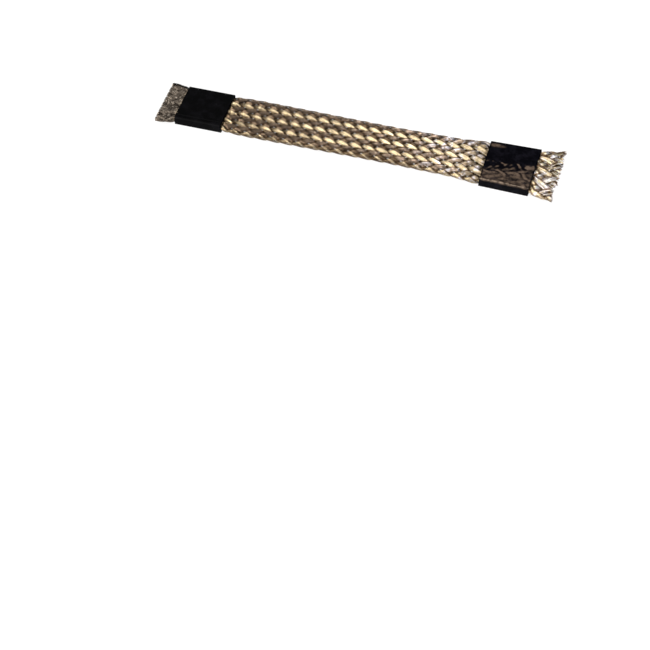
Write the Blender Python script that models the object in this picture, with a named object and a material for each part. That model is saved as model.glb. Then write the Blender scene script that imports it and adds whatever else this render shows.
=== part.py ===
"""Flexible busbar braid: a short flat length of tinned copper braid, bound with tape near each cut end.

Metres, +Z up. +X runs along the braid towards its frayed end, +Y across it, and the origin lies under
its middle, on the surface that it rests on.

The braid is a tube of wire bundles pressed flat. Half of the bundles wind round it one way and half the
other way, and each passes over two of the others and under two, which gives the rows of chevrons.

Every bundle is laid out on the lattice of crossings. One unit across is the pitch between two bundles of
the same way, one unit along is the distance between two crossings, and the columns of crossings are
counted round the tube. The layout is then carried on to the tube.
"""

import math

import bmesh
import bpy

# The braid
BRAID_LENGTH = 0.150
BRAID_WIDTH = 0.0187        # outside width at rest, near each band
WAIST_WIDTH = 0.0179        # between the bands, where the braid is drawn out
WAIST_X = 0.012
BUNDLES_EACH_WAY = 16
CROSSING_PITCH = 0.002475   # along the braid, from one crossing to the next
BUNDLE_FILL = 0.80          # a bundle's width over the pitch between two bundles
BUNDLE_THICKNESS = 0.00045  # at its crest
CROSSING_GAP = 0.00028      # clear height between two bundles that cross
TUBE_GAP = 0.00030          # clear height between the two pressed walls of the tube
EDGE_BULGE = 0.75           # how far the tube's edges stand out past their folds, over half its thickness
OVER_REACH = 0.16           # how far a bundle stays up past the middle of the last one that it is over
UNDER_REACH = 0.44          # how far it stays down past the middle of the last one that it is under

# The two ends
CLEAN_CUT_WIDTH = 0.0194
FRAYED_CUT_WIDTH = 0.0250
FLARE_HEIGHT = 0.00030      # how much each wall of the tube opens at the frayed cut
FLARE_START = 0.0025        # how far past its band the tube begins to open
FRAYED_SHORTFALL = 0.0011   # the most that a frayed bundle stops short of the cut

# The tape bands
TAPE_WIDTH = 0.018
TAPE_THICKNESS = 0.00022    # two turns
TAPE_LAP = 0.00010          # the step where the outer turn ends
TAPE_GAP = 0.00020
TAPE_CORNER = 0.00050       # inside radius where the tape turns over an edge of the braid
CLEAN_END_BARE = 0.0072
FRAYED_END_BARE = 0.0086
CLEAN_BAND_GRIP = 0.0173    # outside width of the braid inside each band
FRAYED_BAND_GRIP = 0.0205
LAP_END_SHARE = -0.80       # where the outer turn ends on the upper face, as a share of half the width
SHOULDER = 0.012            # the length in which the braid comes out of a band to its width at rest
HIDDEN_MARGIN = 0.0003      # the weave runs on this far under a band's edges

# What follows from them
COLUMNS = 2 * BUNDLES_EACH_WAY
WALL = 2 * BUNDLE_THICKNESS + CROSSING_GAP
TUBE_RADIUS = (WALL + TUBE_GAP) / 2
BRAID_THICKNESS = 2 * TUBE_RADIUS + WALL
CENTRE_HEIGHT = TAPE_THICKNESS + TAPE_LAP + TAPE_GAP + BRAID_THICKNESS / 2
HALF_LENGTH = BRAID_LENGTH / 2
CLEAN_BAND_X = -HALF_LENGTH + CLEAN_END_BARE + TAPE_WIDTH / 2
FRAYED_BAND_X = HALF_LENGTH - FRAYED_END_BARE - TAPE_WIDTH / 2
# The columns from the fold along an edge of the tube to the middle of that edge
EDGE_COLUMNS = TUBE_RADIUS / (BRAID_WIDTH / BUNDLES_EACH_WAY)
TOP_COLUMN = 0.5            # the column at the middle of the upper face
ARC_STEPS = 4               # facets in a corner of the tape

TINNED_COPPER = ("tinned copper", (0.66, 0.57, 0.44), 0.34, 1.0)
MATTE_TAPE = ("matte tape", (0.014, 0.014, 0.015), 0.55, 0.0)
GLOSSY_TAPE = ("glossy tape", (0.012, 0.012, 0.013), 0.22, 0.0)


def material(name, colour, roughness, metallic):
    """A Principled material, made once and then shared."""
    found = bpy.data.materials.get(name)
    if found:
        return found
    made = bpy.data.materials.new(name)
    made.use_nodes = True
    shader = made.node_tree.nodes["Principled BSDF"]
    shader.inputs["Base Color"].default_value = (*colour, 1.0)
    shader.inputs["Roughness"].default_value = roughness
    shader.inputs["Metallic"].default_value = metallic
    return made


def smooth(share):
    """0 to 1 with no slope at either end, for a share held between 0 and 1."""
    share = min(1.0, max(0.0, share))
    return share * share * (3 - 2 * share)


def flare_at(x):
    """How far the frayed end has opened at x, from 0 near its tape band to 1 at the cut."""
    start = FRAYED_BAND_X + TAPE_WIDTH / 2 + FLARE_START
    return max(0.0, (x - start) / (HALF_LENGTH - start)) ** 2


def width_at(x):
    """The braid's outside width at x, eased from each place where it is known to the next.

    From the last band to the frayed cut it widens faster and faster, as a trumpet does.
    """
    half_band = TAPE_WIDTH / 2
    known = (
        (-HALF_LENGTH, CLEAN_CUT_WIDTH),
        (CLEAN_BAND_X - half_band, CLEAN_BAND_GRIP),
        (CLEAN_BAND_X + half_band, CLEAN_BAND_GRIP),
        (CLEAN_BAND_X + half_band + SHOULDER, BRAID_WIDTH),
        (WAIST_X, WAIST_WIDTH),
        (FRAYED_BAND_X - half_band - SHOULDER, BRAID_WIDTH),
        (FRAYED_BAND_X - half_band, FRAYED_BAND_GRIP),
        (FRAYED_BAND_X + half_band, FRAYED_BAND_GRIP),
    )
    for (before, width), (after, next_width) in zip(known, known[1:]):
        if x <= after:
            return width + (next_width - width) * smooth((x - before) / (after - before))
    opened = (x - FRAYED_BAND_X - half_band) / FRAYED_END_BARE
    return FRAYED_BAND_GRIP + (FRAYED_CUT_WIDTH - FRAYED_BAND_GRIP) * opened ** 1.5


def on_tube(column, x, offset):
    """The point on the pressed tube at a column and an x, offset outwards from the middle of its wall."""
    lift = FLARE_HEIGHT * flare_at(x)
    radius = TUBE_RADIUS + lift
    half_flat = width_at(x) / 2 - EDGE_BULGE * (radius + WALL / 2)
    turned = (column - TOP_COLUMN + COLUMNS / 4) % COLUMNS
    side = 1 if turned < COLUMNS / 2 else -1
    away = turned % (COLUMNS / 2) - COLUMNS / 4
    flat_columns = COLUMNS / 4 - EDGE_COLUMNS
    along_flat = min(1.0, abs(away) / flat_columns)
    down_edge = max(0.0, abs(away) - flat_columns) / EDGE_COLUMNS
    reach = radius + offset
    y = (half_flat + EDGE_BULGE * reach) * along_flat
    z = reach * (1 - down_edge)
    return (x, -side * math.copysign(y, away), CENTRE_HEIGHT + lift + side * z)


def under_tape(x):
    """Whether a crossing at x is hidden by a tape band."""
    reach = TAPE_WIDTH / 2 - HIDDEN_MARGIN
    return abs(x - CLEAN_BAND_X) < reach or abs(x - FRAYED_BAND_X) < reach


def passes_over(way, own, crossed):
    """Whether this bundle is the outer one where it meets bundle `crossed` of the other way.

    Each passes over two and under two in turn. The crossings that the tape hides are left out of that:
    there the first way lies outside the other.
    """
    x = way * (crossed - own) * CROSSING_PITCH - HALF_LENGTH
    outer_way = 1 if under_tape(x) or (own + crossed) % 4 < 2 else -1
    return way == outer_way


def folds_of(way, own, steps):
    """Where a bundle folds between outside and inside, as pairs of a place and a side.

    The places are in order, on the count of the bundles that it crosses. A side is 1 for outside and -1
    for inside.
    """
    ends = sorted((own, own + way * steps))
    first, last = math.floor(ends[0]) - 2, math.ceil(ends[1]) + 2
    folds = []
    for crossed in range(first, last):
        now = passes_over(way, own, crossed)
        then = passes_over(way, own, crossed + 1)
        if now and not then:
            folds += [(crossed + OVER_REACH, 1), (crossed + 1 - UNDER_REACH, -1)]
        if then and not now:
            folds += [(crossed + UNDER_REACH, -1), (crossed + 1 - OVER_REACH, 1)]
    return folds


def side_at(folds, place):
    """The bundle's side at a place on the crossed bundles' count, from 1 outside to -1 inside."""
    for (before, side), (after, other_side) in zip(folds, folds[1:]):
        if before <= place <= after:
            return side + (other_side - side) * (place - before) / (after - before)
    return folds[0][1] if place < folds[0][0] else folds[-1][1]


def edge_lines(low, high):
    """The columns of the folds that a bundle meets, two at each of the tube's edges."""
    lines = []
    for turn in range(math.floor(low / COLUMNS) - 1, math.ceil(high / COLUMNS) + 1):
        for edge in (COLUMNS / 4, 3 * COLUMNS / 4):
            middle = turn * COLUMNS + TOP_COLUMN + edge
            lines += [middle - EDGE_COLUMNS, middle + EDGE_COLUMNS]
    return [line for line in lines if low < line < high]


def frayed_stop(way, own):
    """How far a bundle stops short of the frayed cut, uneven from bundle to bundle."""
    return FRAYED_SHORTFALL * (0.5 + 0.5 * math.sin(2.4 * own * way + 1.1 * way)) ** 2


def wire_bundle(name, way, own):
    """One bundle of wires, from cut to cut, flat inside and crested outside.

    It starts as a straight bar on the lattice: across, along and outwards. The bar is cut at each fold
    and at each bend round an edge, and its points are then carried on to the tube.
    """
    stop = frayed_stop(way, own) if own else 0.0
    steps = (BRAID_LENGTH - stop) / CROSSING_PITCH
    folds = folds_of(way, own, steps)
    bar = bmesh.new()
    left, right = own - BUNDLE_FILL / 2, own + BUNDLE_FILL / 2
    section = ((left, -0.5), (right, -0.5), (own, 0.5))
    start = [bar.verts.new((across, 0.0, outwards)) for across, outwards in section]
    end = [bar.verts.new((across, steps, outwards)) for across, outwards in section]
    bar.faces.new(start)
    bar.faces.new(end)
    for corner in range(3):
        before = corner - 1
        bar.faces.new((start[before], start[corner], end[corner], end[before]))
    cuts = [((own, way * (place - own), 0), (1, way, 0)) for place, _ in folds]
    reach = sorted((2 * own, 2 * own + way * steps))
    for line in edge_lines(reach[0] - BUNDLE_FILL, reach[1] + BUNDLE_FILL):
        cuts.append(((own, way * (line - 2 * own), 0), (2, way, 0)))
    for point, normal in cuts:
        everything = bar.verts[:] + bar.edges[:] + bar.faces[:]
        bmesh.ops.bisect_plane(bar, geom=everything, dist=1e-5, plane_co=point, plane_no=normal)
    for vert in bar.verts:
        across, along, outwards = vert.co
        side = side_at(folds, across + way * along)
        offset = side * (BUNDLE_THICKNESS + CROSSING_GAP) / 2 + outwards * BUNDLE_THICKNESS
        vert.co = on_tube(2 * across + way * along, along * CROSSING_PITCH - HALF_LENGTH, offset)
    bmesh.ops.recalc_face_normals(bar, faces=bar.faces)
    mesh = bpy.data.meshes.new(name)
    bar.to_mesh(mesh)
    bar.free()
    bundle = bpy.data.objects.new(name, mesh)
    mesh.materials.append(material(*TINNED_COPPER))
    return bundle


def rounded(half_width, half_height, corner, lap=0.0):
    """The outline of a flat tube in its (y, z) plane, counter-clockwise from its under side.

    With a lap, the outer turn of the tape ends in a step on the upper face, and the height of that step
    goes out of the outline again down the far edge.
    """
    across, up = half_width - corner, half_height - corner
    corners = ((across, -up, lap), (across, up, lap), (-across, up, 0.0), (-across, -up, lap))
    step_y = LAP_END_SHARE * half_width
    points = []
    for quarter, (y, z, grown) in enumerate(corners):
        if lap and quarter == 2:
            points += [(step_y, half_height + lap), (step_y, half_height)]
        for step in range(ARC_STEPS + 1):
            angle = math.pi / 2 * (quarter - 1 + step / ARC_STEPS)
            radius = corner + grown
            points.append((y + radius * math.cos(angle), z + radius * math.sin(angle)))
    return points


def tape_band(name, x, grip, tape):
    """A band of tape wound round the braid where its outside width is `grip`, the band's centre at x."""
    half_width = grip / 2 + TAPE_GAP
    half_height = BRAID_THICKNESS / 2 + TAPE_GAP
    inside = rounded(half_width, half_height, TAPE_CORNER)
    outside = rounded(
        half_width + TAPE_THICKNESS, half_height + TAPE_THICKNESS, TAPE_CORNER + TAPE_THICKNESS, TAPE_LAP
    )
    outline = bpy.data.curves.new(name, "CURVE")
    outline.dimensions = "2D"
    outline.fill_mode = "BOTH"
    outline.extrude = TAPE_WIDTH / 2
    for points in (outside, inside):
        spline = outline.splines.new("POLY")
        spline.points.add(len(points) - 1)
        for point, (y, z) in zip(spline.points, points):
            point.co = (y, z, 0.0, 1.0)
        spline.use_cyclic_u = True
    band = bpy.data.objects.new(name, outline)
    # The outline lies in the curve's XY plane: turn its X to +Y and its Y to +Z
    band.rotation_euler = (math.pi / 2, 0.0, math.pi / 2)
    band.location = (x, 0.0, CENTRE_HEIGHT)
    outline.materials.append(material(*tape))
    return band


def main():
    """Builds the bundles of both ways and the two tape bands."""
    for old in list(bpy.data.objects):
        bpy.data.objects.remove(old)
    parts = bpy.data.collections.new("flexible_busbar_braid")
    bpy.context.scene.collection.children.link(parts)
    for way, word in ((1, "right"), (-1, "left")):
        for own in range(BUNDLES_EACH_WAY):
            parts.objects.link(wire_bundle(f"{word}_laid_bundle_{own + 1:02d}", way, own))
    parts.objects.link(tape_band("tape_band_clean_end", CLEAN_BAND_X, CLEAN_BAND_GRIP, MATTE_TAPE))
    parts.objects.link(tape_band("tape_band_frayed_end", FRAYED_BAND_X, FRAYED_BAND_GRIP, GLOSSY_TAPE))


main()
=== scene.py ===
"""Looks of the flexible busbar braid: wires for its bundles, wound tape for its bands, and the studio.

Each bundle of the frame is replaced by its separate wires, and each band by tape that follows the braid
beneath it. Everything is in metres, with +X along the braid towards its frayed end and +Z up.
"""

from __future__ import annotations

import logging
import math
from dataclasses import dataclass
from enum import Enum
from typing import Any

import bpy
import numpy as np
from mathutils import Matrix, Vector

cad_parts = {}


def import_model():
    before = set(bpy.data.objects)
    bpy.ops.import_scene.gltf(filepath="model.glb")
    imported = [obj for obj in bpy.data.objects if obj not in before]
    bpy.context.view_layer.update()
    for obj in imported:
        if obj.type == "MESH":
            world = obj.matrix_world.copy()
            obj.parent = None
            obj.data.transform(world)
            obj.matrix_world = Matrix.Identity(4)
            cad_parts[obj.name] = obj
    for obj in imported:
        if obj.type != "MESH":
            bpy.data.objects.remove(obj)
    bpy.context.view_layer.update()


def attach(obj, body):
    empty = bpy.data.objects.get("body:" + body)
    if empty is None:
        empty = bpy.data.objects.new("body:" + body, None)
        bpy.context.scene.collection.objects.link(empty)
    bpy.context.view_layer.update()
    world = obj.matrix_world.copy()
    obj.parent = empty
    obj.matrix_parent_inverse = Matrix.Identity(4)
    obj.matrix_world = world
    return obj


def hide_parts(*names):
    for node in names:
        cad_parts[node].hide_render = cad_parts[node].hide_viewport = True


LOG = logging.getLogger("busbar_braid")
Array = np.ndarray
Colour = tuple[float, float, float]
Span = tuple[float, float]


class Lay(Enum):
    """Which way a bundle winds round the tube."""

    RIGHT = 1
    LEFT = -1

    @property
    def float_middle(self) -> float:
        """The place of the middle of a float of this lay's bundle 0."""
        return 0.5 if self is Lay.RIGHT else 2.5


class End(Enum):
    """The two ends of the strap."""

    CLEAN = "clean"
    FRAYED = "frayed"


def ease(share: Array) -> Array:
    """Share squared times (3 - 2 share), with share held between 0 and 1: no slope at either end."""
    held = np.clip(share, 0.0, 1.0)
    return held * held * (3.0 - 2.0 * held)


def ease_over(value: Array, span: Span) -> Array:
    """The eased share of the way through a span: 0 at its start and 1 at its end."""
    start, end = span
    return ease((value - start) / (end - start))


class Mesh:
    """A mesh that is gathered from grids of points."""

    def __init__(self) -> None:
        """Starts with nothing in it."""
        self.points: list[Array] = []
        self.quads: list[Array] = []
        self.values: dict[str, list[Array]] = {}
        self.count = 0

    def tube(self, rings: Array, **values: Array) -> None:
        """Adds a closed tube.

        The two ends are closed with a fan of quads, each from the ring's first point to two of its sides,
        so that every face has four corners.

        Args:
            rings: Points of shape (stations, sides, 3), round each ring in the same sense. sides is even.
            values: A number for each station, under the name of its attribute.
        """
        stations, sides = rings.shape[:2]
        ring = np.arange(stations - 1)[:, None] * sides
        side = np.arange(sides)[None, :]
        after = (side + 1) % sides
        walls = np.stack([ring + side, ring + after, ring + sides + after, ring + sides + side], axis=-1)
        odd = np.arange(1, sides - 1, 2)
        near = np.stack([np.zeros_like(odd), odd + 2, odd + 1, odd], axis=-1)[: (sides - 2) // 2]
        near[:, 1] %= sides
        far = near[:, ::-1] + (stations - 1) * sides
        self._add(rings.reshape(-1, 3), np.concatenate([walls.reshape(-1, 4), near, far]))
        for name, value in values.items():
            self.values.setdefault(name, []).append(np.repeat(value, sides))

    def skin(self, grid: Array, closed_across: bool) -> None:
        """Adds a surface from a grid whose rows close into a ring.

        Args:
            grid: Points of shape (rows, columns, 3). The last row joins the first.
            closed_across: Whether the last column joins the first as well.
        """
        rows, columns = grid.shape[:2]
        last = columns if closed_across else columns - 1
        row, column = np.meshgrid(np.arange(rows), np.arange(last), indexing="ij")
        next_row, next_column = (row + 1) % rows, (column + 1) % columns
        corners = [row * columns + column, next_row * columns + column]
        corners += [next_row * columns + next_column, row * columns + next_column]
        self._add(grid.reshape(-1, 3), np.stack(corners, axis=-1).reshape(-1, 4))

    def _add(self, points: Array, quads: Array) -> None:
        """Adds points and the quads between them.

        Args:
            points: Points of shape (count, 3).
            quads: Four of their numbers for each face.
        """
        self.points.append(points)
        self.quads.append(quads + self.count)
        self.count += len(points)

    def finish(self, name: str, material: bpy.types.Material) -> bpy.types.Object:
        """Makes the object.

        Args:
            name: The object's name.
            material: The finish of all its faces.

        Returns:
            A smooth-shaded object at the origin, linked to the scene.
        """
        points = np.concatenate(self.points).astype(np.float32)
        quads = np.concatenate(self.quads).astype(np.int32)
        mesh = bpy.data.meshes.new(name)
        mesh.vertices.add(len(points))
        mesh.vertices.foreach_set("co", points.ravel())
        mesh.loops.add(quads.size)
        mesh.loops.foreach_set("vertex_index", quads.ravel())
        mesh.polygons.add(len(quads))
        mesh.polygons.foreach_set("loop_start", np.arange(0, quads.size, 4, dtype=np.int32))
        mesh.polygons.foreach_set("use_smooth", np.ones(len(quads), dtype=bool))
        mesh.update(calc_edges=True)
        mesh.validate()
        for key, parts in self.values.items():
            layer = mesh.attributes.new(key, "FLOAT", "POINT")
            layer.data.foreach_set("value", np.concatenate(parts).astype(np.float32))
        mesh.materials.append(material)
        made = bpy.data.objects.new(name, mesh)
        bpy.context.scene.collection.objects.link(made)
        return made


class Socket:
    """An output of a shader node, or a number, on which Python's operators add Math nodes."""

    def __init__(self, shader: Shader, output: Any) -> None:
        """Keeps the shader that the output belongs to."""
        self.shader = shader
        self.output = output

    def _math(self, operation: str, *inputs: Any) -> Socket:
        """A Math node of that operation on those inputs."""
        return self.shader.node("ShaderNodeMath", {"operation": operation}, inputs)

    def __add__(self, other: Any) -> Socket:
        """This plus other."""
        return self._math("ADD", self, other)

    __radd__ = __add__

    def __sub__(self, other: Any) -> Socket:
        """This less other."""
        return self._math("SUBTRACT", self, other)

    def __rsub__(self, other: Any) -> Socket:
        """The other less this."""
        return self._math("SUBTRACT", other, self)

    def __mul__(self, other: Any) -> Socket:
        """This times other."""
        return self._math("MULTIPLY", self, other)

    __rmul__ = __mul__

    def between(self, low: float, high: float) -> Socket:
        """0 below low and 1 above high, eased between them.

        Args:
            low: Where it starts to rise.
            high: Where it reaches 1.

        Returns:
            The eased share.
        """
        settings = {"interpolation_type": "SMOOTHSTEP"}
        inputs = {"Value": self, "From Min": low, "From Max": high}
        return self.shader.node("ShaderNodeMapRange", settings, inputs)


class Shader:
    """A material's node tree, built from Python expressions."""

    def __init__(self, name: str) -> None:
        """Starts a material with an empty node tree.

        Args:
            name: The material's name.
        """
        self.material = bpy.data.materials.new(name)
        self.material.use_nodes = True
        self.tree = self.material.node_tree
        self.tree.nodes.clear()

    def node(self, kind: str, settings: dict[str, Any], inputs: Any = (), output: int | str = 0) -> Socket:
        """Adds a node.

        Args:
            kind: The node's type.
            settings: Its own properties, such as a Math node's operation, which are set first.
            inputs: Values or links by socket name, or in order.
            output: The output that the result stands for.

        Returns:
            That output.
        """
        made = self.tree.nodes.new(kind)
        for key, value in settings.items():
            setattr(made, key, value)
        pairs = inputs.items() if isinstance(inputs, dict) else enumerate(inputs)
        for key, value in pairs:
            if isinstance(value, Socket):
                self.tree.links.new(value.output, made.inputs[key])
            else:
                made.inputs[key].default_value = value
        return Socket(self, made.outputs[output])

    def attribute(self, name: str) -> Socket:
        """The number that the mesh holds under that name."""
        return self.node("ShaderNodeAttribute", {"attribute_name": name}, output="Fac")

    def place(self) -> Socket:
        """The point's place in the object's own frame, in metres."""
        return self.node("ShaderNodeTexCoord", {}, output="Object")

    def outputs(self, kind: str, names: tuple[str, ...], inputs: Any = ()) -> list[Socket]:
        """Adds a node of that kind with those inputs, and gives the outputs of those names."""
        made = self.node(kind, {}, inputs).output.node
        return [Socket(self, made.outputs[name]) for name in names]

    def noise(self, vector: Socket, scale: float, detail: float = 2.0, roughness: float = 0.5) -> Socket:
        """Noise from 0 to 1 of so many waves per metre, with finer layers as strong as its roughness."""
        inputs = {"Vector": vector, "Scale": scale, "Detail": detail, "Roughness": roughness}
        return self.node("ShaderNodeTexNoise", {}, inputs)

    def blend(self, share: Socket, first: Any, second: Any) -> Socket:
        """A colour between two.

        Args:
            share: How much of the second.
            first: The colour at 0.
            second: The colour at 1.

        Returns:
            The blended colour.
        """
        colours = [value if isinstance(value, Socket) else (*value, 1.0) for value in (first, second)]
        inputs = {0: share, 6: colours[0], 7: colours[1]}
        return self.node("ShaderNodeMix", {"data_type": "RGBA"}, inputs, 2)

    def bump(self, height: Socket, distance: float) -> Socket:
        """The normal, bent by a height of which 1 stands for the distance in metres."""
        return self.node("ShaderNodeBump", {}, {"Height": height, "Distance": distance, "Strength": 1.0})

    def surface(self, shader: Socket) -> bpy.types.Material:
        """Ends the material in a shader.

        Args:
            shader: What its surface shows.

        Returns:
            The material.
        """
        output = self.tree.nodes.new("ShaderNodeOutputMaterial")
        self.tree.links.new(shader.output, output.inputs["Surface"])
        return self.material

    def principled(self, **inputs: Any) -> Socket:
        """A Principled BSDF, its sockets named with underscores for spaces."""
        named = {key.replace("_", " "): value for key, value in inputs.items()}
        return self.node("ShaderNodeBsdfPrincipled", {}, named)


@dataclass(frozen=True)
class TinnedWire:
    """Fine copper wire with a warm coat of tin, thinned by wear in places.

    Each span is the stretch of x, in metres, over which what it names comes up.
    """

    raised: Colour = (0.92, 0.76, 0.49)
    # Darker, pinker colour of the left-laid wires: painted shade, with a copper tint.
    left_laid_shaded_copper: Colour = (0.61, 0.465, 0.345)
    # Painted shade colour, taken where the mesh's shade is low.
    painted_shade: Colour = (0.125, 0.079, 0.046)
    clean_end: Colour = (0.245, 0.205, 0.168)
    clean_end_spots: Colour = (0.85, 0.76, 0.65)
    silver: Colour = (0.90, 0.88, 0.95)
    roughness: float = 0.32
    dull_roughness: float = 0.18
    grain_depth: float = 0.00002
    brightness: float = 0.85
    tone_spread: float = 0.74
    patch_spread: float = 0.60
    mottle_spread: float = 1.10
    # Brightness along the strap: lower towards the clean end and beside the frayed band, higher at the frayed
    # cut.
    clean_side_dimming: float = 0.10
    fray_side_dimming: float = 0.24
    frayed_lift: float = 0.54
    stain: float = 0.45
    # Painted shadow line along the far edge beside the clean cut.
    far_edge_shadow: float = 0.85
    far_edge_slope: float = 0.19
    far_edge_line: Span = (-0.0052, -0.0048)
    shiny_span: Span = (-0.0690, -0.0670)
    clean_side_span: Span = (-0.060, 0.000)
    contrast_span: Span = (-0.035, 0.030)
    glint_span: Span = (0.016, 0.036)
    fray_side_span: Span = (0.030, 0.055)
    frayed_span: Span = (0.062, 0.069)

    def material(self, name: str) -> bpy.types.Material:
        """The finish.

        The colour runs from the painted shade colour to the raised colour with the painted shade that the
        mesh holds, and the left-laid wires are darker and pinker: painted shade, with a copper tint. Its
        brightness changes from wire to wire and in patches, and is lower towards the clean end and beside the
        frayed band and higher at the frayed cut. It is dull and mottled beside the clean cut, with a painted
        shadow line along the far edge there, and silver glints come up towards the frayed cut.

        Args:
            name: The material's name.

        Returns:
            The material.
        """
        shader = Shader(name)
        place = shader.place()
        x, y = shader.outputs("ShaderNodeSeparateXYZ", ("X", "Y"), (place,))
        # The mesh's shade attribute is painted shade; towards the frayed end it is made steeper.
        mesh_shade = shader.attribute("shade")
        shade = mesh_shade + (mesh_shade.between(0.28, 1.0) - mesh_shade) * x.between(*self.contrast_span)
        tone = shader.attribute("tone")
        left_laid = shader.attribute("left_laid")
        patches = shader.noise(place, 420.0, 3.0, 0.6)
        mottle = shader.noise(place, 1100.0, 2.0, 0.6)
        grain = shader.noise(place, 2600.0, 2.0)
        fray_side = x.between(*self.fray_side_span)
        frayed = x.between(*self.frayed_span)
        # Left-laid wires take the darker painted-shade colour, except towards the frayed end.
        raised = shader.blend(left_laid * (1.0 - fray_side), self.raised, self.left_laid_shaded_copper)
        glinting = patches + tone * 0.16 + left_laid * 0.045 + frayed * 0.05
        glints = glinting.between(0.64, 0.72) * x.between(*self.glint_span)
        raised = shader.blend(glints, raised, self.silver)
        # Painted shade: the colour falls to the shade colour where the mesh's shade is low.
        colour = shader.blend(shade, self.painted_shade, raised)
        dull = 1.0 - x.between(*self.shiny_span)
        end_colour = shader.blend(mottle.between(0.56, 0.66) * shade, self.clean_end, self.clean_end_spots)
        colour = shader.blend(dull, colour, end_colour)
        # Painted shadow: a dark line along the far edge beside the clean cut, multiplied in with the real
        # stains.
        far_edge = (y + x * self.far_edge_slope).between(*self.far_edge_line)
        stains_and_edge_shadow = 1.0 - self.stain * dull * mottle.between(0.50, 0.36)
        stains_and_edge_shadow = stains_and_edge_shadow * (1.0 - self.far_edge_shadow * dull * far_edge)
        # Brightness along the strap: lower towards the clean end and beside the frayed band, higher at the
        # frayed cut.
        clean_side = 1.0 - x.between(*self.clean_side_span)
        level_along_strap = 1.0 - self.clean_side_dimming * clean_side - self.fray_side_dimming * fray_side
        level_along_strap = level_along_strap + self.frayed_lift * frayed
        uneven = (tone - 0.5) * self.tone_spread + (patches - 0.5) * self.patch_spread
        uneven = uneven + (mottle - 0.5) * self.mottle_spread
        level = (self.brightness + uneven * (1.0 - dull * 0.3)) * stains_and_edge_shadow * level_along_strap
        lit = {"Vector": colour, "Scale": level}
        surface = shader.principled(
            Base_Color=shader.node("ShaderNodeVectorMath", {"operation": "SCALE"}, lit),
            Roughness=self.roughness + (grain - 0.5) * 0.16 + dull * self.dull_roughness,
            Metallic=1.0,
            Normal=shader.bump(grain, self.grain_depth),
        )
        return shader.surface(surface)


@dataclass(frozen=True)
class WoundTape:
    """Black tape, matte or glossy, as it lies pulled tight over the braid."""

    colour: Colour
    # After the black come a painted sheen in broad patches, a brown painted reflection over the floats, and a
    # paler painted highlight along the front corner.
    painted_sheen: Colour
    painted_reflection: Colour
    painted_corner_highlight: Colour
    roughness: float
    grain: float
    gloss: float = 0.025

    def material(self, name: str) -> bpy.types.Material:
        """The finish.

        Broad patches of painted sheen lie on the black. Where the mesh says so, over the floats beneath, a
        brown painted reflection shows, and a paler painted highlight runs along the front corner. A fine
        grain scatters the light.

        Args:
            name: The material's name.

        Returns:
            The material.
        """
        shader = Shader(name)
        place = shader.place()
        # The painted reflection and the painted corner highlight, as the mesh holds them.
        painted_reflection = shader.attribute("painted_reflection")
        corner_highlight = shader.attribute("corner_highlight")
        grain = shader.noise(place, 3800.0, 3.0, 0.6)
        cloudy = shader.noise(place, 700.0, 3.0, 0.65)
        share = (painted_reflection * (cloudy * 2.7 - 0.35)).between(0.06, 1.10)
        # Broad patches of painted sheen over the black.
        sheen_patches = shader.noise(place, 260.0, 4.0, 0.7).between(0.44, 0.66)
        colour = shader.blend(share, shader.blend(sheen_patches, self.colour, self.painted_sheen), self.painted_reflection)
        colour = shader.blend(corner_highlight * cloudy.between(0.30, 0.62), colour, self.painted_corner_highlight)
        surface = shader.principled(
            Base_Color=colour,
            Roughness=self.roughness + (cloudy - 0.5) * 0.14,
            Specular_IOR_Level=self.gloss,
            Normal=shader.bump(grain, self.grain),
        )
        return shader.surface(surface)


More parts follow.
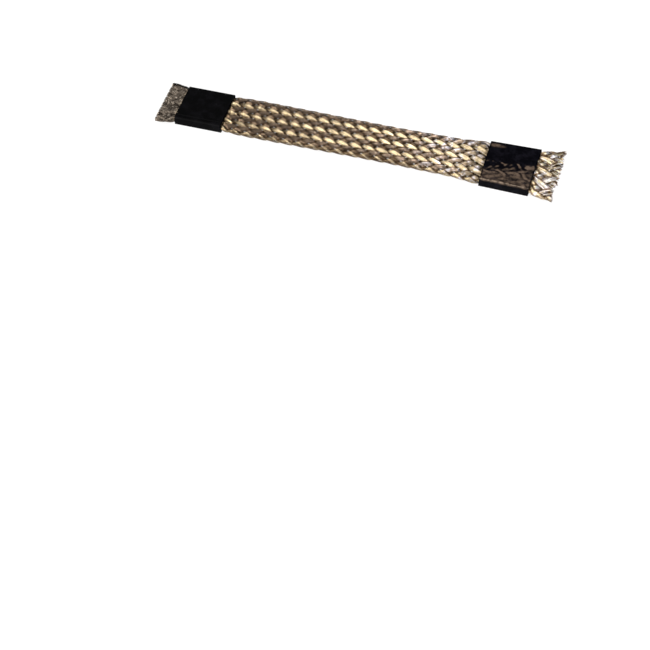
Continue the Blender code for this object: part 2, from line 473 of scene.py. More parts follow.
@dataclass
class PressedTube:
    """The braided tube, pressed flat: its width along the strap, and places on its wall.

    A place is a column, counted round the tube, an x, and an offset outwards from the middle of the wall.
    """

    length: float = 0.150
    rest_width: float = 0.0187
    waist_width: float = 0.0179
    waist_x: float = 0.012
    columns: int = 32
    wall: float = 0.00118
    tube_gap: float = 0.00030
    clean_cut_width: float = 0.0194
    frayed_cut_width: float = 0.0250
    flare_height: float = 0.00030
    flare_start: float = 0.0025
    tape_width: float = 0.018
    tape_base: float = 0.00052
    clean_end_bare: float = 0.0072
    frayed_end_bare: float = 0.0086
    clean_band_grip: float = 0.0173
    frayed_band_grip: float = 0.0205
    shoulder: float = 0.012
    hidden_margin: float = 0.0003
    top_column: float = 0.5
    least_slack: float = 0.00008
    bare_slack: float = 0.00034
    band_side_slack: float = 0.00030
    clean_end_slack: float = 0.00058
    clean_end_side_slack: float = 0.00030
    frayed_end_slack: float = 0.00070
    bare_reach: float = 0.0015
    leaving_reach: float = 0.003
    settling_span: Span = (0.004, 0.014)
    clean_side_reach: float = 0.001
    springing_share: float = 0.07
    springing_lost: float = 0.95
    squashed_reach: float = 0.002
    opening_power: float = 1.5

    def __post_init__(self) -> None:
        """Works out the sizes that follow from the others."""
        self.radius = (self.wall + self.tube_gap) / 2
        self.thickness = 2 * self.radius + self.wall
        self.centre_height = self.tape_base + self.thickness / 2
        self.half_length = self.length / 2
        self.clean_band_x = -self.half_length + self.clean_end_bare + self.tape_width / 2
        self.frayed_band_x = self.half_length - self.frayed_end_bare - self.tape_width / 2
        self.edge_columns = math.pi / 2 * (self.radius + self.wall / 6) / (2 * self.rest_width / self.columns)

    def flare(self, x: Array) -> Array:
        """How far the frayed end has flared: the square of the share of the way from its start to the cut."""
        start = self.frayed_band_x + self.tape_width / 2 + self.flare_start
        return np.clip((x - start) / (self.half_length - start), 0.0, 1.0) ** 2

    def past_band(self, x: Array) -> Array:
        """How far each x lies past the frayed band, as a share of the bare end."""
        start = self.frayed_band_x + self.tape_width / 2
        return np.clip((x - start) / self.frayed_end_bare, 0.0, 1.1)

    def slack(self, x: Array) -> Array:
        """How far the outermost wires stand out on each side beyond their bundles' even outline.

        It is least under the bands, and more where the clean end is squashed and where the frayed end
        springs out of its band.

        Args:
            x: Places along the strap.

        Returns:
            The distance at each.
        """
        from_clean, from_frayed = np.abs(x - self.clean_band_x), np.abs(x - self.frayed_band_x)
        from_band = np.minimum(from_clean, from_frayed) - self.tape_width / 2
        leaving = ease(from_band / self.leaving_reach) * (1.0 - ease_over(from_band, self.settling_span))
        bare = self.bare_slack * ease(from_band / self.bare_reach) + self.band_side_slack * leaving
        beside_band = ease(from_band / self.clean_side_reach) * ease(1.0 - from_band / self.clean_end_bare)
        clean_end = self.squashed(x) * (self.clean_end_slack + self.clean_end_side_slack * beside_band)
        past = self.past_band(x)
        sprung = ease(past / self.springing_share) * (1.0 - self.springing_lost * np.clip(past, 0.0, 1.0))
        return self.least_slack + bare + clean_end + self.frayed_end_slack * sprung

    def squashed(self, x: Array) -> Array:
        """1 on the bare clean end, which is pressed flat, easing to 0 under its band."""
        return 1.0 - ease((x - self.clean_band_x + self.tape_width / 2) / self.squashed_reach)

    def width(self, x: Array) -> Array:
        """The braid's outside width, eased from each place where it is known to the next.

        Args:
            x: Places along the strap.

        Returns:
            The width at each.
        """
        half_band = self.tape_width / 2
        known = np.array(
            [
                (-self.half_length, self.clean_cut_width),
                (self.clean_band_x - half_band, self.clean_band_grip),
                (self.clean_band_x + half_band, self.clean_band_grip),
                (self.clean_band_x + half_band + self.shoulder, self.rest_width),
                (self.waist_x, self.waist_width),
                (self.frayed_band_x - half_band - self.shoulder, self.rest_width),
                (self.frayed_band_x - half_band, self.frayed_band_grip),
                (self.frayed_band_x + half_band, self.frayed_band_grip),
            ]
        )
        index = np.clip(np.searchsorted(known[:, 0], x) - 1, 0, len(known) - 2)
        before, after = known[index], known[index + 1]
        share = ease((x - before[..., 0]) / (after[..., 0] - before[..., 0]))
        eased = before[..., 1] + (after[..., 1] - before[..., 1]) * share
        opened = np.clip(self.past_band(x), 0.0, 1.0) ** self.opening_power
        return eased + (self.frayed_cut_width - self.frayed_band_grip) * opened

    def round_edge(self, column: Array) -> tuple[Array, Array, Array]:
        """Where a column lies in the tube's section.

        Args:
            column: Columns round the tube.

        Returns:
            1 on the upper half and -1 on the lower, the columns from the middle of that half, and the
            angle that the wall has turned through there, which is 0 on the flat and a right angle at the
            very edge.
        """
        turned = (column - self.top_column + self.columns / 4) % self.columns
        side = np.where(turned < self.columns / 2, 1.0, -1.0)
        away = turned % (self.columns / 2) - self.columns / 4
        flat_columns = self.columns / 4 - self.edge_columns
        angle = math.pi / 2 * np.clip(np.abs(away) - flat_columns, 0.0, None) / self.edge_columns
        return side, away, angle

    def carry(self, column: Array, x: Array, offset: Array) -> tuple[Array, Array]:
        """Carries places on to the pressed tube: two flats, joined by half circles at the edges.

        Args:
            column: Columns round the tube.
            x: Places along it.
            offset: Distances outwards from the middle of its wall.

        Returns:
            The points, and the outward direction at each, both of shape (..., 3).
        """
        lift = self.flare_height * self.flare(x)
        radius = self.radius + lift
        half_flat = self.width(x) / 2 - radius - self.wall / 2 + self.slack(x)
        side, away, angle = self.round_edge(column)
        flat_columns = self.columns / 4 - self.edge_columns
        reach = radius + offset
        y = half_flat * np.clip(np.abs(away) / flat_columns, 0.0, 1.0) + reach * np.sin(angle)
        z = reach * np.cos(angle)
        towards = -side * np.sign(away)
        outward = np.stack([np.zeros_like(x), towards * np.sin(angle), side * np.cos(angle)], axis=-1)
        point = np.stack([x, towards * y, self.centre_height + lift + side * z], axis=-1)
        return point, outward

    def under_tape(self, x: Array) -> Array:
        """Whether each x is hidden by a band."""
        reach = self.tape_width / 2 - self.hidden_margin
        return (np.abs(x - self.clean_band_x) < reach) | (np.abs(x - self.frayed_band_x) < reach)


@dataclass(frozen=True)
class Unevenness:
    """How far the bundles and their wires differ from each other: the ranges of the random draws."""

    bundle_tone: float = 0.12
    wire_tone: float = 0.24
    bundle_short: float = 0.0013
    wire_short: float = 0.0007
    wander_waves: Span = (0.5, 0.9)
    wander: float = 0.012
    astray: float = 0.26
    lift: float = 0.000012
    sprung: float = 0.00025
    sprung_range: Span = (-0.0005, 0.00006)
    loose_tone: float = 1.2
    tone_range: Span = (-0.2, 1.2)
    dulled_share: float = 0.25
    dulling: float = 0.75


@dataclass(frozen=True)
class PaintedShading:
    """Painted shade over the floats, leaving a bright part of each, and on the bundles' flanks and the tube's
    edges.

    Along a float it is counted in crossings from the float's middle, and along the strap in metres.
    """

    # The bright wedge on each float: painted shade covers the rest of the float.
    outline: float = 0.78
    outline_lost: float = 0.85
    outline_lost_span: Span = (0.004, 0.040)
    start: float = -0.10
    start_slant: float = 0.21
    start_width: float = 0.26
    end: float = 0.46
    end_slant: float = 0.43
    end_width: float = 0.16
    growth: float = 0.50
    growth_span: Span = (-0.045, 0.005)
    left_laid_shade_span: Span = (0.05, 0.55)
    # Painted shade on the flanks of each bundle and where the wires turn round the tube's edges.
    beside: float = 0.40
    back_edge_shadow: float = 0.92
    front_edge_shadow: float = 0.30

    def bright_part(self, lay: Lay, share: float, past_middle: Array, x: Array, rim: Array) -> Array:
        """How much of a wire is kept out of the painted shade, along its floats.

        On a right-laid float the bright part is a wedge that ends sooner on the wires towards the front,
        grows from the clean end to the middle of the strap, and loses its outline towards the frayed end. A
        left-laid float takes painted shade where it comes up. Round the front edge painted shade leaves only
        the hindmost wires bright.

        Args:
            lay: The wire's lay.
            share: Its place in its bundle, from -1 at the back to 1 at the front.
            past_middle: Places along it, from the middle of the nearest float.
            x: The same places along the strap.
            rim: How far the wire has turned over the front edge, from 0 to 1.

        Returns:
            The share of brightness at each place.
        """
        outlined = self.outline * (1.0 - self.outline_lost * ease_over(x, self.outline_lost_span))
        if lay is Lay.LEFT:
            # A left-laid float takes painted shade where it comes up.
            return 1.0 - outlined * ease_over(past_middle, self.left_laid_shade_span)
        # A right-laid float takes painted shade outside its bright wedge.
        grown = self.growth * ease_over(x, self.growth_span)
        start = self.start - 1.2 * grown + self.start_slant * share
        begun = ease((past_middle - start) / (self.start_width + 1.1 * grown) + 0.5)
        end = self.end + 0.6 * grown - self.end_slant * share
        ended = ease((past_middle - end) / self.end_width + 0.5)
        narrowed = 1.0 - 0.25 * ease_over(np.array(-share), (0.55, 1.0))
        wedge = 1.0 - outlined * (1.0 - begun * (1.0 - ended) * narrowed)
        # Round the front edge painted shade leaves only the hindmost wires bright.
        hindmost = 1.0 - outlined * ease((share + 0.50 + 0.30 * ease(-x / 0.030)) / 0.40)
        over_rim = ease(rim / 0.30)
        return wedge * (1.0 - over_rim) + hindmost * over_rim


@dataclass
class Weave:
    """The bundles of wires, each over two and under two of the other lay.

    A bundle's own number is its across. It meets bundle number q of the other lay where its place,
    across + lay * along, is q, and the column there is 2 * across + lay * along.
    """

    tube: PressedTube
    bundles_each_lay: int = 16
    crossing_pitch: float = 0.002475
    bundle_fill: float = 0.80
    pinched_fill: float = 0.74
    fanned_fill: float = 0.98
    outer_centre: float = 0.455
    bundle_thickness: float = 0.00045
    crossing_gap: float = 0.00028
    over_reach: float = 0.08
    under_reach: float = 0.40
    wires: int = 9
    wire_radius: float = 0.000094
    wire_sides: int = 6
    float_bulge: float = 0.00030
    float_drop: float = 0.00014
    float_reach: float = 1.15
    fan_reach: float = 1.7
    arch_fall: float = 0.92
    squashed_flatness: float = 0.85
    edge_flatness: float = 0.60
    relief_reach: float = 1.2
    left_laid_relief: float = 0.6
    bulge_lost: float = 0.6
    squashed_thinning: float = 0.3
    hidden_fan: float = 0.5
    cut_longer: float = 0.00072
    cut_slant: float = 0.00066
    fold_rings: int = 5
    edge_rings: int = 8
    float_ring: float = 0.33
    least_step: float = 0.045
    unevenness: Unevenness = Unevenness()
    # Painted shade over the floats, on the bundles' flanks and round the tube's edges.
    painted_shading: PaintedShading = PaintedShading()

    def passes_over(self, lay: Lay, own: int, crossed: Array) -> Array:
        """Whether a bundle lies outside where it meets others: over two and under two in turn.

        Args:
            lay: The bundle's lay.
            own: Its number.
            crossed: The numbers of the bundles that it meets.

        Returns:
            True where it is the outer one.
        """
        x = lay.value * (crossed - own) * self.crossing_pitch - self.tube.half_length
        outer = np.where(self.tube.under_tape(x) | ((own + crossed) % 4 < 2), 1, -1)
        return outer == lay.value

    def folds(self, lay: Lay, own: int) -> tuple[Array, Array]:
        """Where a bundle starts and ends each fold between outside and inside.

        Args:
            lay: The bundle's lay.
            own: Its number.

        Returns:
            The places, in order, and the side at each: 1 outside and -1 inside.
        """
        steps = self.tube.length / self.crossing_pitch
        low, high = sorted((float(own), own + lay.value * steps))
        crossed = np.arange(math.floor(low) - 2, math.ceil(high) + 2)
        now = self.passes_over(lay, own, crossed)
        then = self.passes_over(lay, own, crossed + 1)
        starts = crossed + np.where(now, self.over_reach, self.under_reach)
        ends = crossed + 1 - np.where(then, self.over_reach, self.under_reach)
        folded = now != then
        places = np.stack([starts[folded], ends[folded]], axis=1).ravel()
        sides = np.where(np.stack([now[folded], then[folded]], axis=1), 1.0, -1.0)
        return places, sides.ravel()

    def stations(self, places: Array, middle: float, ends: tuple[float, float], column_shift: float) -> Array:
        """Where along its run a wire has rings: close together in the folds and round the tube's edges.

        Args:
            places: The starts and ends of the folds.
            middle: The place of the middle of one float.
            ends: The places of the wire's two ends, in order.
            column_shift: What is added to a place to give its column.

        Returns:
            The places of the rings, in order.
        """
        starts, stops = places[0::2, None], places[1::2, None]
        in_folds = starts + (stops - starts) * np.linspace(-0.1, 1.1, self.fold_rings)[None, :]
        floats = middle + 2.0 * np.arange(-44, 45)[:, None] + np.array([[-1.0, 0.0, 1.0]]) * self.float_ring
        columns, edge = self.tube.columns, self.tube.edge_columns
        turns = np.arange(-8, 9)[:, None] * (columns / 2) + self.tube.top_column + columns / 4
        edges = turns + edge * np.linspace(-1.05, 1.05, self.edge_rings)[None, :] - column_shift
        everything = np.sort(np.concatenate([in_folds.ravel(), floats.ravel(), edges.ravel()]))
        low, high = ends
        inside = everything[(everything > low + 0.05) & (everything < high - 0.05)]
        kept = np.concatenate([[True], np.diff(inside) > self.least_step])
        return np.concatenate([[low], inside[kept], [high]])

    def bundle(self, lay: Lay, own: int, seed: int) -> Mesh:
        """The wires of one bundle, side by side in a shallow arch that follows the weave.

        A wire's offset is the bundle's side times half the height between two crossing bundles, plus the
        arch over the bundle's width, plus a bulge in the middle of each float. Its wires fan out along
        each float and are pinched between two. The bundle flattens at the tube's edges and beside the
        clean cut. Near the frayed cut each wire leaves that path by the square of its way past the band.

        Args:
            lay: The bundle's lay.
            own: Its number.
            seed: What the unevenness of its wires is drawn from.

        Returns:
            The mesh.
        """
        tube, uneven = self.tube, self.unevenness
        random = np.random.default_rng(seed)
        places, sides = self.folds(lay, own)
        middle = lay.float_middle - own
        made = Mesh()
        fills = (self.bundle_fill, self.pinched_fill, self.fanned_fill)
        half_span, half_pinched, half_fanned = (fill * self.outer_centre for fill in fills)
        bundle_tone = random.uniform(-uneven.bundle_tone, uneven.bundle_tone)
        bundle_short = random.uniform(0.0, uneven.bundle_short)
        cut_column = (2 * own + lay.value * tube.length / self.crossing_pitch) % tube.columns
        cut_side, cut_away, _ = tube.round_edge(np.array([cut_column]))
        at_back = float(-cut_side[0] * cut_away[0]) / (tube.columns / 4)
        bundle_longer = self.cut_longer + self.cut_slant * at_back - bundle_short
        for wire in range(self.wires):
            share = 2.0 * wire / (self.wires - 1) - 1.0
            across = own + share * half_span
            longer = bundle_longer - random.uniform(0.0, uneven.wire_short)
            steps = (tube.length + longer) / self.crossing_pitch
            low, high = sorted((across, across + lay.value * steps))
            place = self.stations(places, middle, (low, high), across)[:: lay.value]
            along = (place - across) * lay.value
            x = along * self.crossing_pitch - tube.half_length
            side = np.sin(math.pi / 2 * np.interp(place, places, sides))
            outside = ease(0.5 + 0.5 * side)
            hidden = tube.under_tape(x)
            squashed = tube.squashed(x)
            loose = tube.past_band(x) ** 2
            upper, away, angle = tube.round_edge(across + place)
            edge = np.sin(angle)
            flat = np.maximum(self.squashed_flatness * squashed, self.edge_flatness * edge)
            past_middle = (place - middle + 2.0) % 4.0 - 2.0
            from_middle = np.abs(past_middle)
            swell = np.clip(1.0 - (from_middle / self.float_reach) ** 2, 0.0, 1.0)
            swell = swell * (1 - flat) * (1 - self.bulge_lost * loose)
            bulge = np.where(hidden, 0.0, self.float_bulge * swell)
            drop = np.where(hidden, 0.0, self.float_drop * (1 - flat) * outside)
            wave = np.sin(place * random.uniform(*uneven.wander_waves) + random.uniform(0, 6.3))
            fan = np.maximum(squashed, np.where(hidden, self.hidden_fan, 0.0))
            fan = np.maximum(fan, ease(1.0 - from_middle / self.fan_reach))
            spread = share * (half_pinched + (half_fanned - half_pinched) * fan - half_span)
            astray = random.normal(0.0, uneven.astray) * loose
            arch = self.bundle_thickness - 2 * self.wire_radius
            arch = arch * (1.0 - self.arch_fall * share**2) * (1 - flat)
            offset = side * (self.bundle_thickness + self.crossing_gap) / 2
            offset = offset * (1 - self.squashed_thinning * squashed)
            offset = offset - self.bundle_thickness / 2 + self.wire_radius + arch + bulge - drop
            offset = offset + random.uniform(-1, 1) * uneven.lift
            offset = offset + np.clip(random.normal(0.0, uneven.sprung), *uneven.sprung_range) * loose
            column = 2 * (across + spread + wave * uneven.wander) + along * lay.value + astray
            centre, outward = tube.carry(column, x, offset)
            # Painted shade, held as the shade attribute: under-runs, the flanks of each bundle, the tube's
            # edges and every part of a float outside its bright part.
            bright = self.painted_shading.bright_part(lay, share, past_middle, x, edge * (upper * away > 0))
            beside = 1 - self.painted_shading.beside * np.abs(share) ** 3
            front_shadow = self.painted_shading.front_edge_shadow * edge**3
            shadowed = edge * np.where(upper * away < 0, self.painted_shading.back_edge_shadow, front_shadow)
            shade = np.where(hidden, 0.0, outside * beside * bright * (1 - shadowed))
            own_tone = bundle_tone + random.normal(0.0, uneven.wire_tone)
            fraying = loose**0.25
            tone = np.clip(0.5 + own_tone * (1.0 + uneven.loose_tone * fraying), *uneven.tone_range)
            dulled = random.uniform() < uneven.dulled_share
            shade = shade * (1.0 - uneven.dulling * dulled * fraying)
            left_laid = np.full(len(x), float(lay is Lay.LEFT))
            made.tube(self.rings(centre, outward), tone=tone, shade=shade, left_laid=left_laid)
        return made

    def rings(self, centre: Array, outward: Array) -> Array:
        """Rings round a path.

        A ring's point is the centre plus the radius times the outward direction turned about the path's
        tangent.

        Args:
            centre: The path, of shape (stations, 3).
            outward: A direction away from the tube at each point.

        Returns:
            Points of shape (stations, sides, 3).
        """
        tangent = np.gradient(centre, axis=0)
        tangent /= np.linalg.norm(tangent, axis=1, keepdims=True)
        beside = np.cross(tangent, outward)
        beside /= np.linalg.norm(beside, axis=1, keepdims=True)
        up = np.cross(beside, tangent)
        angle = np.arange(self.wire_sides) * 2 * math.pi / self.wire_sides
        turned = up[:, None] * np.cos(angle)[None, :, None] - beside[:, None] * np.sin(angle)[None, :, None]
        return centre[:, None] + self.wire_radius * turned

    def relief(self, x: Array, y: Array, width: float) -> Array:
        """How high the floats of the upper face stand, for the tape that is stretched over them.

        Of the two lays, the higher counts. Each is the arch over a bundle's width, 1 less the square of
        the share of its half width, times the swell along its float.

        Args:
            x: Places along the strap.
            y: Places across it.
            width: The braid's width there.

        Returns:
            The height, from 0 to 1.
        """
        column = self.tube.top_column - y / (width / self.bundles_each_lay)
        along = (x + self.tube.half_length) / self.crossing_pitch
        right, left = (column - along) / 2, (column + along) / 2
        heights = []
        for lay, across, place in ((Lay.RIGHT, right, left), (Lay.LEFT, left, right)):
            own = np.round(across)
            arch = np.clip(1.0 - (2.0 * (across - own) / self.bundle_fill) ** 2, 0.0, 1.0)
            from_middle = np.abs((place - lay.float_middle + own + 2.0) % 4.0 - 2.0)
            heights.append(arch * np.clip(1.0 - (from_middle / self.relief_reach) ** 2, 0.0, 1.0))
        return np.maximum(heights[0], heights[1] * self.left_laid_relief)

    def build(self, finish: bpy.types.Material) -> None:
        """Makes every bundle and puts it in place of its node.

        Args:
            finish: The wires' finish.
        """
        for lay in Lay:
            word = lay.name.lower()
            for own in range(self.bundles_each_lay):
                made = self.bundle(lay, own, seed=own + 100 * (lay is Lay.LEFT))
                piece = made.finish(f"wires_{word}_{own + 1:02d}", finish)
                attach(piece, "root")
                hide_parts(f"{word}_laid_bundle_{own + 1:02d}")
            LOG.info("wires of the %d %s-laid bundles", self.bundles_each_lay, word)


@dataclass
class TapeBand:
    """Tape wound round the braid, its outer turn ending in a step along the front of the upper face."""

    end: End
    weave: Weave
    finish: WoundTape
    stations_along: int
    imprint: float
    # How strong the painted reflection and the painted corner highlight are.
    painted_light_share: float
    taper: float
    thickness: float = 0.00022
    lap: float = 0.00010
    gap: float = 0.00020
    corner: float = 0.00050
    corner_points: int = 8
    edge_points: int = 12
    lower_points: int = 40
    upper_points: int = 130
    lap_end_share: float = -0.80
    lining: float = 0.00002
    sag: float = 0.00003
    rumple: float = 0.00045
    step_bridge: float = 0.0006
    faded_share: float = 0.05
    edge_share: float = 0.03
    edge_wobble: float = 0.00005
    # Width of the painted highlight along the front corner.
    corner_highlight_width: float = 0.00030

    def __post_init__(self) -> None:
        """Works out the band's place and its inside size."""
        tube = self.weave.tube
        clean = self.end is End.CLEAN
        self.x = tube.clean_band_x if clean else tube.frayed_band_x
        self.grip = tube.clean_band_grip if clean else tube.frayed_band_grip
        self.half_width = self.grip / 2 + self.gap
        self.half_height = tube.thickness / 2 + self.gap

    def outline(self) -> tuple[Array, Array, Array]:
        """The inside of the winding as a rounded rectangle, from its end step round to it again.

        Straight runs and quarter circles follow each other: front of the top, front edge, bottom, back
        edge, rest of the top.

        Returns:
            The points in (y, z), the outward direction at each, and the share of the lap that has grown.
        """
        across, up = self.half_width - self.corner, self.half_height - self.corner
        step = self.lap_end_share * self.half_width
        quarter = math.pi / 2

        def line(start: tuple[float, float], end: tuple[float, float], turns: int, count: int) -> Array:
            """Points from start to before end, with the quarter turns that they face."""
            run = np.linspace(start, end, count, endpoint=False)
            return np.column_stack([run, np.full(count, turns * quarter)])

        def arc(y: float, z: float, turns: int) -> Array:
            """A quarter circle round (y, z), counter-clockwise after that many quarter turns."""
            angle = turns * quarter + np.linspace(0.0, quarter, self.corner_points, endpoint=False)
            return np.stack([y + self.corner * np.cos(angle), z + self.corner * np.sin(angle), angle], axis=1)

        runs = [
            line((step, self.half_height), (-across, self.half_height), 1, self.edge_points),
            arc(-across, up, 1),
            line((-self.half_width, up), (-self.half_width, -up), 2, self.edge_points),
            arc(-across, -up, 2),
            line((-across, -self.half_height), (across, -self.half_height), 3, self.lower_points),
            arc(across, -up, 3),
            line((self.half_width, -up), (self.half_width, up), 4, self.edge_points),
            arc(across, up, 4),
            line((across, self.half_height), (step, self.half_height), 5, self.upper_points),
        ]
        path = np.concatenate(runs + [np.array([[step, self.half_height, 5 * quarter]])])
        outward = np.column_stack([np.cos(path[:, 2]), np.sin(path[:, 2])])
        grown = ease((path[:, 2] - 1.5 * quarter) / quarter)
        return path[:, :2], outward, grown

    def painted_reflection_and_highlight(self, relief: Array, share: Array, x: Array, y: Array) -> tuple[Array, Array]:
        """Where the tape carries a brown painted reflection, and where a painted highlight runs along its
        corner.

        The painted reflection lies over the floats of the front half, from a ragged line that moves back
        towards the frayed end, and in a patch near the far corner. The painted highlight runs along the front
        of the upper face.

        Args:
            relief: How high the floats stand beneath the tape.
            share: The share of the way along the band.
            x: Places along the strap.
            y: Places across it.

        Returns:
            How strong the painted reflection is, and how strong the painted corner highlight is.
        """
        # Brown painted reflection over the floats of the front half and in a patch near the far corner.
        far = y / self.half_width
        far_corner_patch = ease(1.0 - np.hypot((share - 0.12) / 0.30, (far - 0.80) / 0.16))
        before_line = 0.34 * share - 0.32 - far
        ragged = np.sin(x * 2100.0 + y * 1500.0) + np.sin(x * 3700.0 - y * 2600.0)
        covered = ease(0.5 + before_line / 0.34 + 1.2 * (relief - 0.45) + 0.22 * ragged)
        between = 0.14 * ease(before_line / 0.45) * (1.0 - relief)
        painted_reflection = covered * (0.22 + 0.78 * relief + between) + 0.8 * far_corner_patch
        # Painted highlight along the front corner.
        from_turn = np.abs(y + self.half_width - self.corner)
        corner_highlight = ease(1.0 - from_turn / self.corner_highlight_width) * (1.0 - 0.5 * share)
        return self.painted_light_share * painted_reflection, self.painted_light_share * corner_highlight

    def build(self) -> None:
        """Makes the band and puts it in place of its node.

        A point of the outer skin is the outline moved outwards by the tape's thickness, the grown lap, the
        relief of the braid and the tape's slack. The cut edges of the tape wander a little, and the frayed
        end's band widens and slants along the strap.
        """
        points, outward, grown = self.outline()
        share = np.linspace(0.0, 1.0, self.stations_along)[None, :]
        x = self.x + (share - 0.5) * self.weave.tube.tape_width
        y = points[:, :1]
        far = y / self.half_width
        upper = outward[:, 1:] > 0.5
        level = upper * outward[:, 1:] ** 4
        astray = self.rumple * np.sin(x * 830.0 + y * 410.0)
        astray = astray + self.rumple * 2 / 3 * np.sin(y * 1300.0 - x * 350.0)
        relief = self.weave.relief(x + 1.6 * astray, y + 0.8 * astray, self.grip) * level
        from_step = np.abs(y - self.lap_end_share * self.half_width)
        fade = 0.30 + 0.70 * ease(np.minimum(share, 1 - share) / self.faded_share)
        lift = self.imprint * relief * fade * (0.25 + 0.75 * ease(from_step / self.step_bridge))
        lift = lift * (0.40 + 0.60 * ease((0.10 - far) / 0.55))
        slack = np.sin(5.3 * share + 0.8) * np.cos(far * 2.2) + 0.5 * np.sin(11.0 * share + far * 4.0)
        out = self.thickness + self.lap * grown[:, None] + lift + self.sag * slack * level
        wobble = self.edge_wobble * np.sin(y * 900.0 + 1.7 * (share > 0.5))
        wobble = wobble * (ease_over(share, (1 - self.edge_share, 1)) - ease(1 - share / self.edge_share))
        opened = 1.0 + self.taper * (share - 0.35)
        slant = self.taper * (y * (0.5 + 0.6 * share) - 0.008 * (1.0 - share))
        skins = [
            np.stack(
                [
                    np.broadcast_to(x, out.shape) + wobble + slant,
                    y * opened + outward[:, :1] * distance,
                    points[:, 1:] + outward[:, 1:] * distance + self.weave.tube.centre_height,
                ],
                axis=-1,
            )
            for distance in (out, np.full_like(out, self.lining))
        ]
        made = Mesh()
        made.skin(np.concatenate([skins[0], skins[1][:, ::-1]], axis=1), closed_across=True)
        # The painted reflection and the painted corner highlight, held on the upper face.
        painted_reflection, corner_highlight = self.painted_reflection_and_highlight(relief, share, x, y)
        for name, value in (("painted_reflection", painted_reflection * upper * fade), ("corner_highlight", corner_highlight * upper)):
            made.values[name] = [np.concatenate([value, np.zeros_like(value)], axis=1).ravel()]
        name = f"tape_{self.end.value}_end"
        piece = made.finish(name, self.finish.material(name))
        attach(piece, "root")
        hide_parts(f"tape_band_{self.end.value}_end")
        LOG.info("tape band at the %s end", self.end.value)


@dataclass(frozen=True)
class Lamp:
    """A round soft lamp that faces the strap at the x of its aim, its size in metres and power in watts."""

    name: str
    place: tuple[float, float, float]
    size: float
    power: float
    colour: Colour
    aim: float = 0.0
    spread: float = math.pi

    def build(self) -> None:
        """Hangs the lamp in the scene."""
        light = bpy.data.lights.new(self.name, "AREA")
        light.shape = "DISK"
        light.size = self.size
        light.energy = self.power
        light.color = self.colour
        light.spread = self.spread
        made = bpy.data.objects.new(self.name, light)
        made.location = self.place
        towards = Vector((self.aim, 0.0, 0.0)) - made.location
        made.rotation_euler = towards.to_track_quat("-Z", "Y").to_euler()
        bpy.context.scene.collection.objects.link(made)


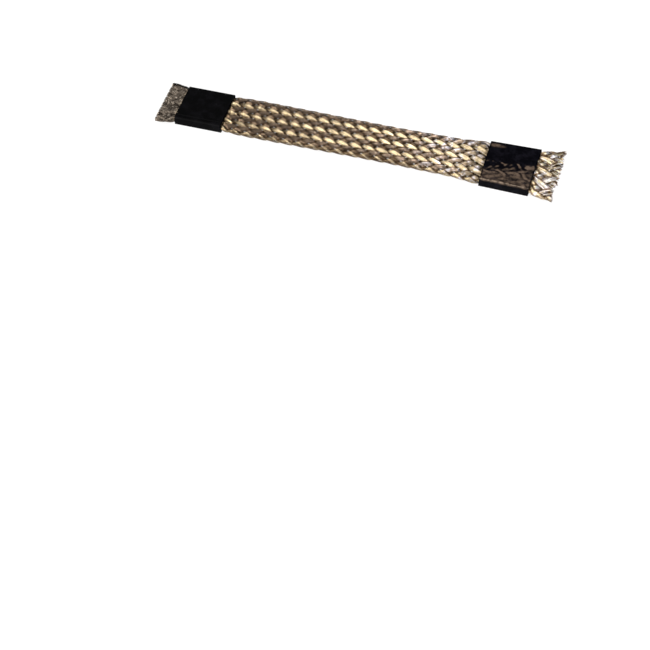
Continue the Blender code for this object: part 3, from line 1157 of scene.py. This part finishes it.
@dataclass(frozen=True)
class Studio:
    """A pale sweep, soft lamps and the camera."""

    lamps: tuple[Lamp, ...] = (
        Lamp("key", (-0.738, -0.310, 1.149), 0.64, 16.2, (1.0, 0.98, 0.95)),
        Lamp("front", (-0.43, -1.05, 0.84), 0.30, 20.0, (1.0, 0.97, 0.92)),
        Lamp("glint", (0.24, -0.152, 0.378), 0.08, 0.040, (0.99, 0.96, 0.96), aim=0.084, spread=0.49),
    )
    ambient: Colour = (0.112, 0.107, 0.108)
    camera_place: tuple[float, float, float] = (0.088258, -0.359251, 0.348688)
    camera_tilt: float = 0.681428
    camera_turn: float = 0.272365
    lens: float = 75.53
    sensor: float = 36.0
    paper: Colour = (0.90, 0.90, 0.90)
    glow: float = 1.06
    glow_share: float = 0.80
    sweep_flat: float = 1.6
    sweep_rise: float = 0.8
    sweep_clear: float = 0.00002
    sweep_hole: float = 0.0001

    def sweep(self) -> None:
        """The floor, flat in the middle and curving up all round: height is the rise's quarter circle.

        The camera and reflections see it glow white. All other light meets plain paper.
        """
        shader = Shader("pale_sweep")
        paper = shader.principled(Base_Color=(*self.paper, 1.0), Roughness=0.9, Specular_IOR_Level=0.1)
        white = {"Color": (1.0, 1.0, 1.0, 1.0), "Strength": self.glow}
        glow = shader.node("ShaderNodeEmission", {}, white)
        direct, mirrored = shader.outputs("ShaderNodeLightPath", ("Is Camera Ray", "Is Glossy Ray"))
        seen = (direct + mirrored) * self.glow_share
        mixed = shader.node("ShaderNodeMixShader", {}, {0: seen, 1: paper, 2: glow})
        material = shader.surface(mixed)
        bend = np.linspace(0.08, 1.45, 20)
        flat = np.linspace(self.sweep_hole, self.sweep_flat, 12)
        radius = np.concatenate([flat, self.sweep_flat + self.sweep_rise * np.sin(bend)])
        rise = self.sweep_rise * (1 - np.cos(bend))
        height = np.concatenate([np.zeros_like(flat), rise]) - self.sweep_clear
        angle = np.linspace(0.0, 2 * math.pi, 96, endpoint=False)
        radii, angles = np.meshgrid(radius, angle)
        heights = np.broadcast_to(height, radii.shape)
        points = np.stack([radii * np.cos(angles), radii * np.sin(angles), heights], axis=-1)
        made = Mesh()
        made.skin(points, closed_across=False)
        made.finish("sweep", material)

    def build(self) -> None:
        """Makes the sweep, the lamps, the world and the camera."""
        scene = bpy.context.scene
        self.sweep()
        for lamp in self.lamps:
            lamp.build()
        world = bpy.data.worlds.new("studio")
        world.use_nodes = True
        background = world.node_tree.nodes["Background"]
        background.inputs["Color"].default_value = (*self.ambient, 1.0)
        background.inputs["Strength"].default_value = 1.0
        scene.world = world
        scene.view_settings.view_transform = "Standard"
        camera = bpy.data.cameras.new("camera")
        camera.lens = self.lens
        camera.sensor_width = self.sensor
        made = bpy.data.objects.new("camera", camera)
        made.location = self.camera_place
        made.rotation_euler = (self.camera_tilt, 0.0, self.camera_turn)
        scene.collection.objects.link(made)
        scene.camera = made
        LOG.info("sweep, lamps and camera")


def main() -> None:
    """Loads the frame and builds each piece."""
    logging.basicConfig(level=logging.INFO, format="%(message)s")
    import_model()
    weave = Weave(PressedTube())
    weave.build(TinnedWire().material("tinned_wire"))
    # After its black, each tape has a painted sheen in patches, a brown painted reflection over the floats
    # and a painted highlight along the front corner.
    matte = WoundTape(
        colour=(0.0013, 0.0013, 0.0015),
        painted_sheen=(0.0032, 0.0031, 0.0040),
        painted_reflection=(0.006, 0.0055, 0.005),
        painted_corner_highlight=(0.010, 0.009, 0.009),
        roughness=0.55,
        grain=0.000012,
    )
    glossy = WoundTape(
        colour=(0.0013, 0.0013, 0.0021),
        painted_sheen=(0.0042, 0.0040, 0.0062),
        painted_reflection=(0.082, 0.059, 0.044),
        painted_corner_highlight=(0.24, 0.19, 0.145),
        roughness=0.24,
        grain=0.000004,
    )
    bands = [
        TapeBand(End.CLEAN, weave, matte, 50, imprint=0.000018, painted_light_share=0.2, taper=0.0),
        TapeBand(End.FRAYED, weave, glossy, 150, imprint=0.00011, painted_light_share=1.0, taper=0.045),
    ]
    for band in bands:
        band.build()
    Studio().build()
    bpy.context.view_layer.update()


if __name__ == "__main__":
    main()
